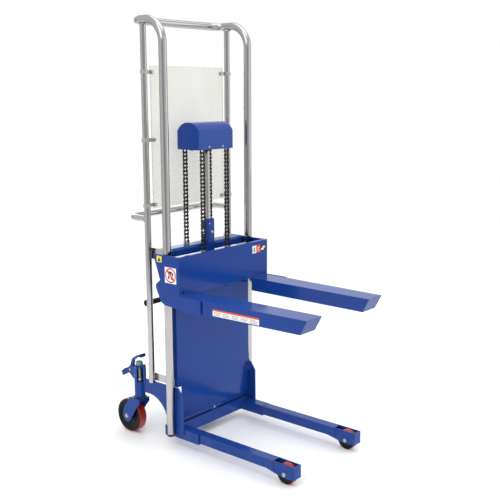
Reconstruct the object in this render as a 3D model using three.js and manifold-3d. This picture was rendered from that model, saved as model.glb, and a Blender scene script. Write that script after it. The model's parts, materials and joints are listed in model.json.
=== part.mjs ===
// A hand-hydraulic pedestrian stacker: a chromed tube mast on two straddle legs, a chain-lifted fork
// carriage, a pumped lift cylinder, two load rollers in the toes and two braked casters behind.
// Millimetres, +Z up, floor at Z = 0. The forks point towards -Y and the operator stands at +Y.
// Y = 0 is the plane of the front mast tubes, until the whole group is centred at the end.
import * as THREE from "three";
import { mergeVertices } from "three/addons/utils/BufferGeometryUtils.js";
import Module from "manifold-3d";

const wasm = await Module();
wasm.setup();

// ---------------------------------------------------------------- driving dimensions
const GAP = 0.3; // clearance kept between neighbouring pieces

const FRONT_TUBE = { x: 257, y: 0, r: 17, wall: 2.5, foot: 60 };
const REAR_TUBE = { x: 252, y: 116, r: 13, wall: 2, foot: 262.4 };
const MAST_TOP = 1780; // axis height of the bent top of the mast
const MAST_REAR = 178; // axis depth of the top crossbar
const TOP_BEND = 95;
const CORNER_BEND = 60;
const LINK = { inner: 234, outer: 239.7 }; // flat bars and plates welded inside the tubes

const HANDLE_Z = 975;
const HANDLE_REAR = 232;
const HANDLE_BEND = 50;

const LEG = { inner: 189, outer: 231, bottom: 44, top: 84, rear: 25, pocket: -536, toe: -640, wall: 3 };
const SLEEVE = { outer: 235, bottom: 38, front: -140 };
const LOAD_WHEEL = { r: 42, y: -590, inner: 195, outer: 225, shaft: 6 };

const BEAM = { front: -20, top: 95, bottom: 44 };
const PANEL = { half: 232, y: -20, sheet: 2, bottom: 123, top: 812, flange: 14 };

const CASTER = { x: 238, y: 210, trail: 57, r: 75, halfWidth: 22, axle: 6 };
const HOUSING = { r: 24, bore: 16.8, bottom: 170, top: 312 };
const PEDAL = { y: 255, z: 290, pin: 4 };

const CARRIAGE = { outer: 282, sheet: 4, face: -92, top: 840, fork: 680 };
const FORK = { tip: -711, heelInner: 171, heelOuter: 277.7, tipInner: 161, tipOuter: 256, depth: 58, sheet: 4 };
const ROLLER = { r: 17.5, inner: 244, outer: 272, shaft: 6, upperZ: 812, lowerZ: 655 };

const CYLINDER = { y: 9, r: 17, bore: 14, bottom: 95.5, top: 958 };
const ROD = { r: 11, foot: 500, top: 1261.7 };
const SHEAVE = { x: 75, y: 16, z: 1300, pitch: 50 };
const CHAIN = { half: 7.3, halfWidth: 9.2 };
const CHAIN_ANCHOR = { rear: 850, front: 820 };
const HOOD = { half: 105, front: -45, rear: 80, bottom: 1257, shoulder: 1335, top: 1370, sheet: 3 };
const ANCHOR_BEAM = { front: 22, rear: 80, top: 850, depth: 34, sheet: 4 };

const SHIELD = { half: 219, y: 113, sheet: 4, bottom: 1016, top: 1600, boltX: 209 };
const CLAMP_HEIGHTS = { bottom: 1031, middle: 1300, top: 1574 };

const PUMP = { pivotY: 118, pivotZ: 262, ramY: 150 };
const GRIP = { y: 240, z: 575, r: 12, half: 162 };

const DEPTH_CENTRE = (FORK.tip + CASTER.y + CASTER.trail + CASTER.r) / 2;
const SIDES = { left: -1, right: 1 };

// ---------------------------------------------------------------- materials
const material = (color, roughness, metalness, more = {}) =>
  new THREE.MeshStandardMaterial({ color, roughness, metalness, ...more });
const bluePaint = () => material(0x304d98, 0.35, 0.1);
const chrome = () => material(0xc4c6c8, 0.12, 1);
const zinc = () => material(0xb9b8b0, 0.35, 0.9);
const redTread = () => material(0x8c1a16, 0.45, 0);
const blackRubber = () => material(0x141414, 0.7, 0);
const chainSteel = () => material(0x24211f, 0.45, 0.7);
const darkSteel = () => material(0x2b2c30, 0.5, 0.6);
const clearShield = () => material(0xe8e8e2, 0.2, 0, { transparent: true, opacity: 0.4 });

// ---------------------------------------------------------------- shape helpers
// Where a drawing's U, V and depth go when a piece is extruded along X, Y or Z.
const PLANES = {
  x: new THREE.Matrix4().set(0, 0, 1, 0, 1, 0, 0, 0, 0, 1, 0, 0, 0, 0, 0, 1),
  y: new THREE.Matrix4().set(1, 0, 0, 0, 0, 0, -1, 0, 0, 1, 0, 0, 0, 0, 0, 1),
  z: new THREE.Matrix4(),
};

// A closed three.js geometry as a solid that can be joined and cut.
function solid(geometry) {
  const bare = geometry.index ? geometry.toNonIndexed() : geometry.clone();
  bare.deleteAttribute("normal");
  bare.deleteAttribute("uv");
  const merged = mergeVertices(bare, 1e-3);
  const vertProperties = merged.attributes.position.array;
  const triVerts = new Uint32Array(merged.index.array);
  return new wasm.Manifold(new wasm.Mesh({ numProp: 3, vertProperties, triVerts }));
}

function join(first, ...others) {
  return others.reduce((sum, piece) => sum.add(piece), first);
}

// The two ends of a stretch from inner to outer on one side, in rising order.
function span(side, inner, outer) {
  return side > 0 ? [inner, outer] : [-outer, -inner];
}

function box(x0, x1, y0, y1, z0, z1) {
  const block = new THREE.BoxGeometry(x1 - x0, y1 - y0, z1 - z0);
  block.translate((x0 + x1) / 2, (y0 + y1) / 2, (z0 + z1) / 2);
  return solid(block);
}

function sideBox(side, inner, outer, y0, y1, z0, z1) {
  return box(...span(side, inner, outer), y0, y1, z0, z1);
}

// A flat outline, given as [u, v] points, pushed along one axis from one place to another.
function plate(axis, outline, from, to, curveSegments = 8) {
  const corners = Array.isArray(outline) && outline.map(([u, v]) => new THREE.Vector2(u, v));
  const shape = corners ? new THREE.Shape(corners) : outline;
  const sheet = new THREE.ExtrudeGeometry(shape, { depth: to - from, bevelEnabled: false, curveSegments });
  sheet.applyMatrix4(PLANES[axis]);
  if (axis === "x") sheet.translate(from, 0, 0);
  if (axis === "y") sheet.translate(0, to, 0);
  if (axis === "z") sheet.translate(0, 0, from);
  return solid(sheet);
}

function disc(u, v, radius, bore = 0) {
  const shape = new THREE.Shape().absarc(u, v, radius, 0, 2 * Math.PI, false);
  if (bore) shape.holes.push(new THREE.Path().absarc(u, v, bore, 0, 2 * Math.PI, true));
  return shape;
}

// A round bar, or a ring if it has a bore, along one axis. u and v are its centre in the other two.
function bar(axis, radius, from, to, u, v, { bore = 0, sides = 12 } = {}) {
  return plate(axis, disc(u, v, radius, bore), from, to, sides / 2);
}

// A closed [radius, height] profile turned about an axis parallel to Z through x, y.
function turned(profile, x, y, segments = 12) {
  const points = profile.map(([r, h]) => new THREE.Vector2(r, h));
  const piece = new THREE.LatheGeometry(points, segments);
  piece.rotateX(Math.PI / 2);
  piece.translate(x, y, 0);
  return solid(piece);
}

// A wheel or roller: a closed [radius, offset] profile turned about an axis along X.
function wheel(profile, x, y, z, segments) {
  const points = profile.map(([r, h]) => new THREE.Vector2(r, h));
  const piece = new THREE.LatheGeometry(points, segments);
  piece.rotateZ(-Math.PI / 2);
  piece.translate(x, y, z);
  return solid(piece);
}

// Straight runs joined by round bends. Every step is an end or a point of a bend, so runs stay plain.
class BentRoute extends THREE.Curve {
  constructor(corners, radii, stepsPerBend) {
    super();
    this.knots = [corners[0]];
    radii.forEach((radius, i) => {
      const corner = corners[i + 1];
      const back = corners[i].clone().sub(corner).normalize();
      const on = corners[i + 2].clone().sub(corner).normalize();
      const half = back.angleTo(on) / 2;
      const start = corner.clone().addScaledVector(back, radius / Math.tan(half));
      const toCentre = back.clone().add(on).normalize();
      const centre = corner.clone().addScaledVector(toCentre, radius / Math.sin(half));
      const turnAxis = new THREE.Vector3().crossVectors(on, back).normalize();
      for (let step = 0; step <= stepsPerBend; step++) {
        const angle = ((Math.PI - 2 * half) * step) / stepsPerBend;
        this.knots.push(start.clone().sub(centre).applyAxisAngle(turnAxis, angle).add(centre));
      }
    });
    this.knots.push(corners[corners.length - 1]);
  }

  get steps() {
    return this.knots.length - 1;
  }

  getPoint(t, target = new THREE.Vector3()) {
    return target.copy(this.knots[Math.round(t * this.steps)]);
  }

  getUtoTmapping(u) {
    return u;
  }

  getTangent(t, target = new THREE.Vector3()) {
    const i = Math.round(t * this.steps);
    target.set(0, 0, 0);
    for (const [a, b] of [[i - 1, i], [i, i + 1]]) {
      if (a < 0 || b > this.steps) continue;
      target.add(this.knots[b].clone().sub(this.knots[a]).normalize());
    }
    return target.normalize();
  }
}

function bentTube(corners, radii, radius, bore, stepsPerBend = 4) {
  const route = new BentRoute(corners.map((c) => new THREE.Vector3(...c)), radii, stepsPerBend);
  const options = { steps: route.steps, extrudePath: route, curveSegments: 6 };
  return solid(new THREE.ExtrudeGeometry(disc(0, 0, radius, bore), options));
}

// ---------------------------------------------------------------- the stacker
const stacker = new THREE.Group();
stacker.position.y = -DEPTH_CENTRE;

function add(name, piece, finish) {
  const { vertProperties, triVerts } = piece.getMesh();
  const geometry = new THREE.BufferGeometry();
  geometry.setAttribute("position", new THREE.BufferAttribute(vertProperties, 3));
  geometry.setIndex(new THREE.BufferAttribute(triVerts, 1));
  geometry.computeVertexNormals();
  const mesh = new THREE.Mesh(geometry, finish);
  mesh.name = name;
  stacker.add(mesh);
}

function addBothSides(name, make, finish) {
  for (const [word, side] of Object.entries(SIDES)) add(`${name}_${word}`, make(side), finish());
}

// -------- mast
function mastLoop() {
  const { x, y, foot, r, wall } = FRONT_TUBE;
  const corners = [
    [-x, y, foot],
    [-x, y, MAST_TOP],
    [-x, MAST_REAR, MAST_TOP],
    [x, MAST_REAR, MAST_TOP],
    [x, y, MAST_TOP],
    [x, y, foot],
  ];
  return bentTube(corners, [TOP_BEND, CORNER_BEND, CORNER_BEND, TOP_BEND], r, r - wall, 5);
}

// The thin upright behind, coped under the top tube, with the two flat bars that tie it to the front.
function rearUpright(side) {
  const { x, y, foot, r, wall } = REAR_TUBE;
  const tube = bar("z", r, foot, MAST_TOP, side * x, y, { bore: r - wall });
  const cope = bar("y", FRONT_TUBE.r + 1.4, 60, MAST_REAR, side * FRONT_TUBE.x, MAST_TOP, { sides: 24 });
  const above = sideBox(side, 200, 300, 60, MAST_REAR, MAST_TOP, MAST_TOP + 30);
  const upperBar = sideBox(side, LINK.inner, LINK.outer, -8, 130, 805, 852);
  const lowerBar = sideBox(side, LINK.inner, LINK.outer, -8, 142, 269, 303);
  return join(tube.subtract(cope).subtract(above), upperBar, lowerBar);
}

function pushHandle() {
  const { x, y, r } = REAR_TUBE;
  const corners = [
    [-x, y, HANDLE_Z],
    [-x, HANDLE_REAR, HANDLE_Z],
    [x, HANDLE_REAR, HANDLE_Z],
    [x, y, HANDLE_Z],
  ];
  const loop = bentTube(corners, [HANDLE_BEND, HANDLE_BEND], r, r - 2, 5);
  const uprights = [-x, x].map((at) => bar("z", r + GAP, HANDLE_Z - 30, HANDLE_Z + 30, at, y));
  const inFront = box(-300, 300, y - 40, y + 1, HANDLE_Z - 30, HANDLE_Z + 30);
  return loop.subtract(uprights[0]).subtract(uprights[1]).subtract(inFront);
}

// The crossmember that the rear chains hang from: a folded channel with a rounded nose.
function anchorBeam() {
  const { front, rear, top, depth, sheet } = ANCHOR_BEAM;
  const nose = 10;
  const outline = new THREE.Shape();
  outline.moveTo(rear, top - depth);
  outline.lineTo(rear, top);
  outline.lineTo(front + nose, top);
  outline.absarc(front + nose, top - nose, nose, Math.PI / 2, Math.PI, false);
  outline.lineTo(front, top - depth);
  outline.lineTo(front + sheet, top - depth);
  outline.absarc(front + nose, top - nose, nose - sheet, Math.PI, Math.PI / 2, true);
  outline.lineTo(rear - sheet, top - sheet);
  outline.lineTo(rear - sheet, top - depth);
  const channel = plate("x", outline, -LINK.inner + GAP, LINK.inner - GAP, 3);
  return channel.subtract(box(-22.6, 22.6, front - 5, 30.3, top - depth - 5, top + 5));
}

// The folded post around the head of the cylinder, notched on its left wall, open behind.
function cylinderGuard() {
  const half = 22;
  const front = -11.5;
  const rear = 30;
  const sheet = 3;
  const bevel = 4;
  const outline = [
    [-half, rear],
    [-half, front + bevel],
    [-half + bevel, front],
    [half - bevel, front],
    [half, front + bevel],
    [half, rear],
    [half - sheet, rear],
    [half - sheet, front + sheet],
    [-half + sheet, front + sheet],
    [-half + sheet, rear],
  ];
  const post = plate("z", outline, 786, 960);
  const notch = box(-half - 1, -half + sheet + 1, 8, rear + 1, 893, 915);
  const corners = [-1, 1].map((side) => {
    const cut = [
      [side * (half + 1), 949],
      [side * (half + 1), 961],
      [side * (half - 9), 961],
    ];
    return plate("y", side > 0 ? cut : cut.reverse(), front - 1, rear + 1);
  });
  return post.subtract(notch).subtract(corners[0]).subtract(corners[1]);
}

function cylinderBarrel() {
  const { r, bore, bottom, top, y } = CYLINDER;
  const rodBore = ROD.r + 0.4;
  const profile = [
    [0, bottom],
    [r, bottom],
    [r, top],
    [rodBore, top],
    [rodBore, top - 14],
    [bore, top - 14],
    [bore, bottom + 14],
    [0, bottom + 14],
  ];
  return turned(profile, 0, y, 16);
}

// -------- base
// Pressed cover between the mast tubes: side flanges, a lip stepped back at its foot and a fixing tab.
function coverPanel() {
  const { half, y, sheet, bottom, top, flange } = PANEL;
  const section = [
    [y, top],
    [y, bottom],
    [y + 4, bottom - 6],
    [y + 4, bottom - 20],
    [y + 4 + sheet, bottom - 20],
    [y + 4 + sheet, bottom - 5],
    [y + sheet, bottom + 1],
    [y + sheet, top],
  ];
  const face = plate("x", section, -half, half);
  const tab = box(-18, 18, y + 4, y + 4 + sheet, BEAM.top + 1.5, bottom - 19);
  const flanges = [-1, 1].map((side) => sideBox(side, half - sheet, half, y + 1, flange, bottom + 1, top));
  const notches = [-1, 1].map((side) => sideBox(side, 209, half + 1, y - 1, flange + 1, 222, 262));
  return notches.reduce((panel, notch) => panel.subtract(notch), join(face, tab, ...flanges));
}

// The folded crossmember between the legs, with the shelf that carries the pump and the cylinder.
function baseBeam() {
  const { front, top, bottom } = BEAM;
  const sheet = 5;
  const betweenLegs = LEG.inner - GAP;
  return join(
    box(-betweenLegs, betweenLegs, front, front + sheet, bottom, top),
    box(-LINK.inner + GAP, LINK.inner - GAP, front, front + sheet, LEG.top + GAP, top),
    box(-betweenLegs, betweenLegs, front, 60, top - sheet, top),
    box(-90, 90, 50, 170, top - sheet, top),
    box(-90, 90, 165, 170, 62, top),
  );
}

// One straddle leg: box tube, deeper toe with an open pocket, sleeve, gusset and the saddle that the
// mast tube stands in.
function leg(side) {
  const { inner, outer, bottom, top, rear, pocket, toe, wall } = LEG;
  const tube = sideBox(side, inner, outer, pocket, rear, bottom, top).subtract(
    sideBox(side, inner + wall, outer - wall, pocket - 1, rear + 1, bottom + wall, top - wall),
  );
  const cheek = [
    [-500, bottom],
    [-500, top],
    [toe, top],
    [toe, 33],
    [-616, 28],
    [-576, 29],
    [-537, 37],
  ];
  const cheeks = [
    [inner, inner + wall],
    [outer - wall, outer],
  ].map(([a, b]) => plate("x", cheek, ...span(side, a, b)));
  const nose = sideBox(side, inner, outer, toe, toe + 5, 33, top);
  const sleeve = join(
    sideBox(side, outer - 0.5, SLEEVE.outer, SLEEVE.front, rear, SLEEVE.bottom, top),
    sideBox(side, inner, SLEEVE.outer, SLEEVE.front, rear, SLEEVE.bottom, bottom + 0.5),
  );
  const gusset = [
    [-58, 60],
    [-57, 225],
    [-31, 262],
    [10, 262],
    [10, 60],
  ];
  const shaftHole = bar("x", LOAD_WHEEL.shaft + GAP, ...span(side, 170, 250), LOAD_WHEEL.y, LOAD_WHEEL.r);
  return join(
    tube,
    ...cheeks,
    nose,
    sleeve,
    plate("x", gusset, ...span(side, LINK.inner, LINK.outer)),
    saddle(side),
  ).subtract(shaftHole);
}

// A rounded strap behind the foot of the mast tube, from the gusset round to the outer side.
function saddle(side) {
  const { x, y, r } = FRONT_TUBE;
  const [start, end] = side > 0 ? [0.2 * Math.PI, 1.1 * Math.PI] : [-0.1 * Math.PI, 0.8 * Math.PI];
  const strap = new THREE.Shape();
  strap.absarc(side * x, y, 24, start, end, false);
  strap.absarc(side * x, y, r + 0.4, end, start, true);
  const limit = sideBox(side, 200, CARRIAGE.outer - CARRIAGE.sheet - 1.2, -60, 60, 50, 110);
  return plate("z", strap, 56, 98, 6).intersect(limit);
}

function loadAxle(side) {
  const { y, r, shaft } = LOAD_WHEEL;
  return join(
    bar("x", shaft, ...span(side, LEG.inner - 3, LEG.outer + 3), y, r),
    bar("x", shaft + 3, ...span(side, LEG.inner - 4, LEG.inner - GAP), y, r),
    bar("x", shaft + 3, ...span(side, LEG.outer + GAP, LEG.outer + 4), y, r),
  );
}

function loadWheel(side) {
  const { r, inner, outer, shaft, y } = LOAD_WHEEL;
  const half = (outer - inner) / 2;
  const bore = shaft + GAP;
  const profile = [
    [bore, -half],
    [r - 14, -half],
    [r - 12, -half + 1.5],
    [r - 3, -half + 1.5],
    [r, -half + 5],
    [r, half - 5],
    [r - 3, half - 1.5],
    [r - 12, half - 1.5],
    [r - 14, half],
    [bore, half],
    [bore, -half],
  ];
  return wheel(profile, (side * (inner + outer)) / 2, y, r, 20);
}

// -------- casters
// The web plate behind the mast tube and the caster housing with its window, ears and pedal pin.
function casterBracket(side) {
  const { x, y } = CASTER;
  const web = new THREE.Shape();
  web.moveTo(10.5, 100.5);
  web.lineTo(26, 100.5);
  web.lineTo(26, 62);
  web.lineTo(36, 62);
  web.absarc(150, 85, 114, Math.PI, 0.53 * Math.PI, true);
  web.lineTo(190, 199);
  web.lineTo(190, 262);
  web.lineTo(10.5, 262);
  const ear = [
    [205, 252],
    [232, 250],
    [262, 274],
    [269, 290],
    [260, 304],
    [205, HOUSING.top],
  ];
  const stop = [
    [188, 240],
    [188, 312],
    [184, 325],
    [175, 325],
    [172, 314],
    [172, 240],
  ];
  const housing = bar("z", HOUSING.r, HOUSING.bottom, HOUSING.top, side * x, y, { sides: 20 });
  const bore = bar("z", HOUSING.bore, HOUSING.bottom - 1, HOUSING.top + 1, side * x, y, { sides: 20 });
  const window = new THREE.BoxGeometry(26, 40, 62);
  window.translate(0, -20, 0);
  window.rotateZ(-side * -0.65);
  window.translate(side * x, y, 275);
  const ears = [
    [x - 14, x - 10],
    [x + 10, x + 14],
  ].map(([a, b]) => plate("x", ear, ...span(side, a, b)));
  const pin = bar("x", PEDAL.pin, ...span(side, x - 12, x + 12), PEDAL.y, PEDAL.z);
  return join(
    plate("x", web, ...span(side, LINK.inner, LINK.outer)),
    plate("x", stop, ...span(side, x - 4, x + 4)),
    housing,
    ...ears,
  )
    .subtract(bore)
    .subtract(solid(window))
    .add(pin);
}

function casterFork(side) {
  const { x, y, trail, r, axle } = CASTER;
  const axleY = y + trail;
  const cheek = new THREE.Shape();
  cheek.moveTo(184, 168);
  cheek.lineTo(184, 148);
  cheek.lineTo(206, 122);
  cheek.lineTo(axleY - 26, 68);
  cheek.absarc(axleY, r, 27, 1.09 * Math.PI, 2.05 * Math.PI, false);
  cheek.lineTo(286, 112);
  cheek.lineTo(263, 142);
  cheek.lineTo(246, 168);
  const cheeks = [
    [x - 31, x - 26],
    [x + 26, x + 31],
  ].map(([a, b]) => plate("x", cheek, ...span(side, a, b), 6));
  const crown = sideBox(side, x - 31, x + 31, 184, 246, 158, 168);
  const stem = bar("z", HOUSING.bore - 0.6, 160, 214, side * x, y, { sides: 16 });
  const hole = bar("x", axle + GAP, ...span(side, x - 40, x + 40), axleY, r);
  return join(crown, stem, ...cheeks).subtract(hole);
}

function casterAxle(side) {
  const { x, y, trail, r, axle } = CASTER;
  const at = [y + trail, r];
  return join(
    bar("x", axle, ...span(side, x - 33, x + 33), ...at),
    bar("x", axle + 3, ...span(side, x - 36, x - 31 - GAP), ...at),
    bar("x", axle + 3, ...span(side, x + 31 + GAP, x + 36), ...at),
  );
}

function casterWheel(side) {
  const { x, y, trail, r, halfWidth, axle } = CASTER;
  const bore = axle + GAP;
  const profile = [
    [bore, -halfWidth - 2],
    [16, -halfWidth - 2],
    [20, -halfWidth + 8],
    [r - 20, -halfWidth + 8],
    [r - 16, -halfWidth],
    [r - 4, -halfWidth],
    [r, -halfWidth + 7],
    [r, halfWidth - 7],
    [r - 4, halfWidth],
    [r - 16, halfWidth],
    [r - 20, halfWidth - 8],
    [20, halfWidth - 8],
    [16, halfWidth + 2],
    [bore, halfWidth + 2],
    [bore, -halfWidth - 2],
  ];
  return wheel(profile, side * x, y + trail, r, 24);
}

// The rocking brake pedal: an upper arm to press on, and a lower toe to lift it off again.
function brakePedal(side) {
  const { x } = CASTER;
  const web = [
    [187, 369],
    [187, 361],
    [228, 343.5],
    [240, 332],
    [245, 314],
    [244, 282],
    [260, 276],
    [308, 249.5],
    [318, 249],
    [321.5, 256],
    [316, 265],
    [266, 303],
    [260, 318],
    [253, 337],
    [234, 351],
  ];
  const upperPad = [
    [185, 371],
    [185, 363.5],
    [216, 351.5],
    [218, 358.5],
  ];
  const lowerPad = [
    [290, 283],
    [314, 264],
    [317.5, 267.5],
    [293, 286.5],
  ];
  const hole = bar("x", PEDAL.pin + GAP, ...span(side, x - 20, x + 20), PEDAL.y, PEDAL.z);
  return join(
    plate("x", web.reverse(), ...span(side, x - 5.5, x + 5.5)),
    plate("x", upperPad, ...span(side, x - 16, x + 16)),
    plate("x", lowerPad, ...span(side, x - 14, x + 14)),
  ).subtract(hole);
}

// The pin that drops from under the pedal onto the fork's stem, with its collar and its round head.
function brakePlunger(side) {
  const profile = [
    [0, 230],
    [8, 230],
    [8, 246],
    [14, 246],
    [14, 260],
    [8, 260],
    [8, 318],
    [15, 318],
    [15, 331],
    [10, 335],
    [0, 335],
  ];
  return turned(profile, side * CASTER.x, CASTER.y, 12);
}

// -------- operator's shield
function shieldPanel() {
  const { half, y, sheet, bottom, top, boltX } = SHIELD;
  let pane = box(-half, half, y, y + sheet, bottom, top);
  for (const side of [-1, 1]) {
    for (const z of Object.values(CLAMP_HEIGHTS)) {
      pane = pane.subtract(bar("y", 4.4, y - 1, y + sheet + 1, side * boltX, z));
    }
  }
  return pane;
}

function shieldClamp(side, z) {
  const { x, y, r } = REAR_TUBE;
  const { boltX } = SHIELD;
  const back = SHIELD.y + SHIELD.sheet + GAP;
  return join(
    bar("z", r + 3.5, z - 8, z + 8, side * x, y, { bore: r + 0.4, sides: 16 }),
    sideBox(side, boltX - 8, x - r - 1.5, back, back + 3, z - 8, z + 8),
    bar("y", 4, SHIELD.y - 7, back + 1, side * boltX, z, { sides: 8 }),
    bar("y", 7, SHIELD.y - 7, SHIELD.y - GAP, side * boltX, z, { sides: 6 }),
  );
}

// -------- lifting head: rod, yoke, sheaves, chains and hood
function pistonRod() {
  const { r, foot, top } = ROD;
  const profile = [
    [0, foot],
    [CYLINDER.bore - GAP, foot],
    [CYLINDER.bore - GAP, foot + 20],
    [r, foot + 20],
    [r, top],
    [0, top],
  ];
  return turned(profile, 0, CYLINDER.y, 12);
}

function headYoke() {
  const { y, z } = SHEAVE;
  return join(
    box(-30, 30, y - 24, y + 24, ROD.top + GAP, z + 18),
    box(-58, 58, HOOD.front + HOOD.sheet + GAP, y + 24, ROD.top + GAP, ROD.top + 7),
    box(-58, 58, HOOD.front + HOOD.sheet + GAP, HOOD.front + 7, ROD.top + GAP, ROD.top + 30),
    bar("x", 10, -98, 98, y, z),
  );
}

function sheave(side) {
  const { x, y, z, pitch } = SHEAVE;
  const groove = pitch - CHAIN.half - GAP;
  const profile = [
    [10.4, -12],
    [groove + 5, -12],
    [groove + 5, -10],
    [groove, -10],
    [groove, 10],
    [groove + 5, 10],
    [groove + 5, 12],
    [10.4, 12],
    [10.4, -12],
  ];
  return wheel(profile, side * x, y, z, 24);
}

// The half turn of chain over a sheave.
function chainWrap(side) {
  const { x, y, z, pitch } = SHEAVE;
  const band = new THREE.Shape();
  band.absarc(y, z, pitch + CHAIN.half, 0, Math.PI, false);
  band.absarc(y, z, pitch - CHAIN.half, Math.PI, 0, true);
  return plate("x", band, ...span(side, x - CHAIN.halfWidth, x + CHAIN.halfWidth), 12);
}

// A straight run of chain from its anchor up to the sheave, in front of or behind the sheave's centre.
function chainRun(side, way, anchorZ) {
  const { x, y, z, pitch } = SHEAVE;
  const at = y + way * pitch;
  const { half, halfWidth } = CHAIN;
  return sideBox(side, x - halfWidth, x + halfWidth, at - half, at + half, anchorZ + GAP, z - GAP);
}

function hoodOutline(inset, bottom) {
  const { front, rear, shoulder, top } = HOOD;
  const half = (rear - front) / 2;
  const rise = top - shoulder;
  const radius = (half * half + rise * rise) / (2 * rise);
  const centreZ = top - radius;
  const centreY = (front + rear) / 2;
  const reach = Math.acos((half - inset) / (radius - inset));
  const outline = new THREE.Shape();
  outline.moveTo(front + inset, bottom);
  outline.lineTo(rear - inset, bottom);
  outline.absarc(centreY, centreZ, radius - inset, reach, Math.PI - reach, false);
  return outline;
}

function chainHood() {
  const { half, bottom, sheet } = HOOD;
  const outer = plate("x", hoodOutline(0, bottom), -half, half, 8);
  return outer.subtract(plate("x", hoodOutline(sheet, bottom - 5), -half + sheet, half - sheet, 8));
}

// -------- carriage
function carriageFrontPlate() {
  const { outer, sheet, face, top, fork } = CARRIAGE;
  const half = outer - sheet - GAP;
  const anchors = [-1, 1].map((side) => {
    const at = SHEAVE.y - SHEAVE.pitch;
    return sideBox(side, SHEAVE.x - 9, SHEAVE.x + 9, at - 7, at + 7, 805, CHAIN_ANCHOR.front);
  });
  return join(
    box(-half, half, face, face + 5, fork + GAP, top),
    box(-half, half, face + 4, face + 24, fork + GAP, fork + 5),
    box(-half, half, face + 4, face + 14, top - 5, top),
    box(-100, 100, face + 4, -26, 799, 806),
    ...anchors,
  );
}

function carriageSide(side) {
  const { outer, sheet, face, top, fork } = CARRIAGE;
  const outline = [
    [-205, fork],
    [-205, 618],
    [face, 621],
    [-58, 626],
    [-3, 630],
    [18, 642],
    [45, 698],
    [44, 713],
    [20, 733],
    [54, 828],
    [52, top],
    [face, top],
    [face, fork],
  ];
  const stubs = [
    [35, ROLLER.upperZ],
    [-35, ROLLER.lowerZ],
  ].map(([y, z]) => bar("x", ROLLER.shaft, ...span(side, ROLLER.inner, outer - 1), y, z));
  return join(plate("x", outline, ...span(side, outer - sheet, outer)), ...stubs);
}

// One fork: a tapered channel open below, so that it can nest over the leg, closed by a sloping tip.
function fork(side) {
  const { tip, heelInner, heelOuter, tipInner, tipOuter, depth, sheet } = FORK;
  const top = CARRIAGE.fork;
  const heel = CARRIAGE.face - GAP;
  const slope = 31;
  const channel = (inset, back) => {
    const plan = [
      [side * (heelInner + inset), back],
      [side * (tipInner + inset), tip],
      [side * (tipOuter - inset), tip],
      [side * (heelOuter - inset), back],
    ];
    return plate("z", side > 0 ? plan : plan.reverse(), top - depth - 10, top + 10);
  };
  const profile = (inset, back, below) => [
    [back, top - inset],
    [tip + 1.6 * inset, top - inset],
    [tip + slope + (1.6 * inset) / 2, top - depth - below],
    [back, top - depth - below],
  ];
  const outside = channel(0, heel).intersect(plate("x", profile(0, heel, 0), -300, 300));
  const inside = channel(sheet, heel + 5).intersect(plate("x", profile(sheet + 0.5, heel + 5, 5), -300, 300));
  return outside.subtract(inside);
}

function mastRoller(side, y, z) {
  const half = (ROLLER.outer - ROLLER.inner) / 2 - 1;
  const bore = ROLLER.shaft + GAP;
  const profile = [
    [bore, -half],
    [ROLLER.r - 2, -half],
    [ROLLER.r, -half + 2],
    [ROLLER.r, half - 2],
    [ROLLER.r - 2, half],
    [bore, half],
    [bore, -half],
  ];
  return wheel(profile, (side * (ROLLER.inner + ROLLER.outer)) / 2, y, z, 16);
}

// -------- pump
// Pump block with the ram's barrel, two ears for the lever and a stub for the release lever.
function pumpBody() {
  const { pivotY, pivotZ, ramY } = PUMP;
  const ear = [
    [pivotY - 20, 170],
    [pivotY + 18, 170],
    [pivotY + 12, pivotZ + 14],
    [pivotY - 12, pivotZ + 14],
  ];
  const ears = [-1, 1].map((side) => plate("x", ear, ...span(side, 17, 24)));
  const bore = bar("z", 8.4, 165, 230, 0, ramY);
  return join(
    box(-40, 40, 60, 130, BEAM.top + GAP, 180),
    box(-20, 20, 120, 168, BEAM.top + GAP, 160),
    bar("z", 15, 150, 222, 0, ramY, { sides: 16 }),
    ...ears,
    bar("x", 6, 39, 58, 95, 150),
  )
    .subtract(bore)
    .add(bar("x", 5, -20, 20, pivotY, pivotZ));
}

// The pump lever: hub on its pivot, a nose that presses the ram and a round shank up to the grip's eye.
function pumpLever() {
  const { pivotY, pivotZ, ramY } = PUMP;
  const reach = Math.hypot(GRIP.y - pivotY, GRIP.z - pivotZ);
  const shank = new THREE.CylinderGeometry(9, 11, reach - 16, 12);
  shank.rotateX(Math.PI / 2);
  shank.translate(0, 0, (reach - 16) / 2 + 4);
  shank.rotateX(-Math.atan2(GRIP.y - pivotY, GRIP.z - pivotZ));
  shank.translate(0, pivotY, pivotZ);
  const nose = [
    [pivotY, pivotZ + 8],
    [pivotY, pivotZ - 8],
    [ramY, pivotZ - 13],
    [ramY, pivotZ + 1],
  ];
  return join(
    bar("x", 14, -15, 15, pivotY, pivotZ),
    plate("x", nose.reverse(), -7, 7),
    bar("x", 8, -7, 7, ramY, pivotZ - 6),
    solid(shank),
    bar("x", 18, -14, 14, GRIP.y, GRIP.z, { sides: 16 }),
  )
    .subtract(bar("x", 5.3, -16, 16, pivotY, pivotZ))
    .subtract(bar("x", GRIP.r + GAP, -20, 20, GRIP.y, GRIP.z, { sides: 16 }));
}

function releaseLever() {
  const arm = [
    [88, 143],
    [102, 143],
    [205, 176],
    [205, 182],
    [196, 182],
    [95, 158],
    [88, 156],
  ];
  return join(plate("x", arm, 48, 54), box(48, 84, 188, 212, 176.5, 182))
    .subtract(bar("x", 6.3, 40, 60, 95, 150));
}

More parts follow.
